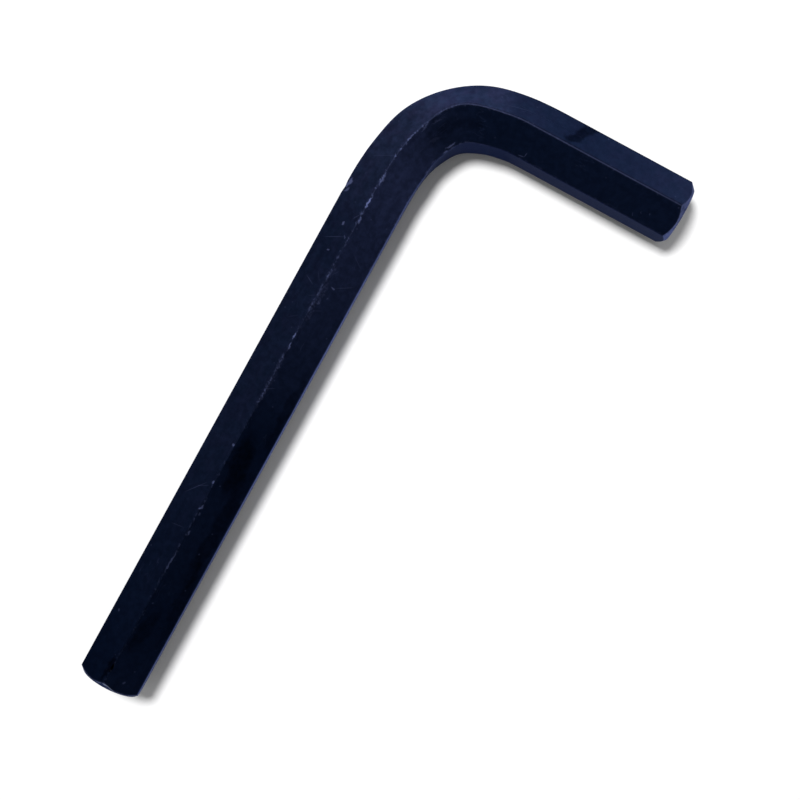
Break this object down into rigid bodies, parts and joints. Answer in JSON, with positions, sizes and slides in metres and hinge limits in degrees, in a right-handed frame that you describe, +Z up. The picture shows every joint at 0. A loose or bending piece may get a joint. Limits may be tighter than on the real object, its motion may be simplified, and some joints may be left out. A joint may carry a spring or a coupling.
{
  "type": "hex key",
  "caption": "L-shaped hex key of blackened steel bar, with a long and a short arm and chamfered ends, for driving hexagon socket screws.",
  "frame": {"origin": "under the middle of the key's box, on the surface that the key lies on", "axes": "+X along the long arm towards its free end, +Y along the short arm towards its free end, +Z up, square to the plane of both arms"},
  "size_m": [0.116, 0.05, 0.0114],
  "materials": {
    "blackened_steel": "black oxide with a blue cast, satin, worn brighter along the edges"
  },
  "bodies": {
    "root": {"hex_key": "blackened_steel"}
  },
  "joints": []
}
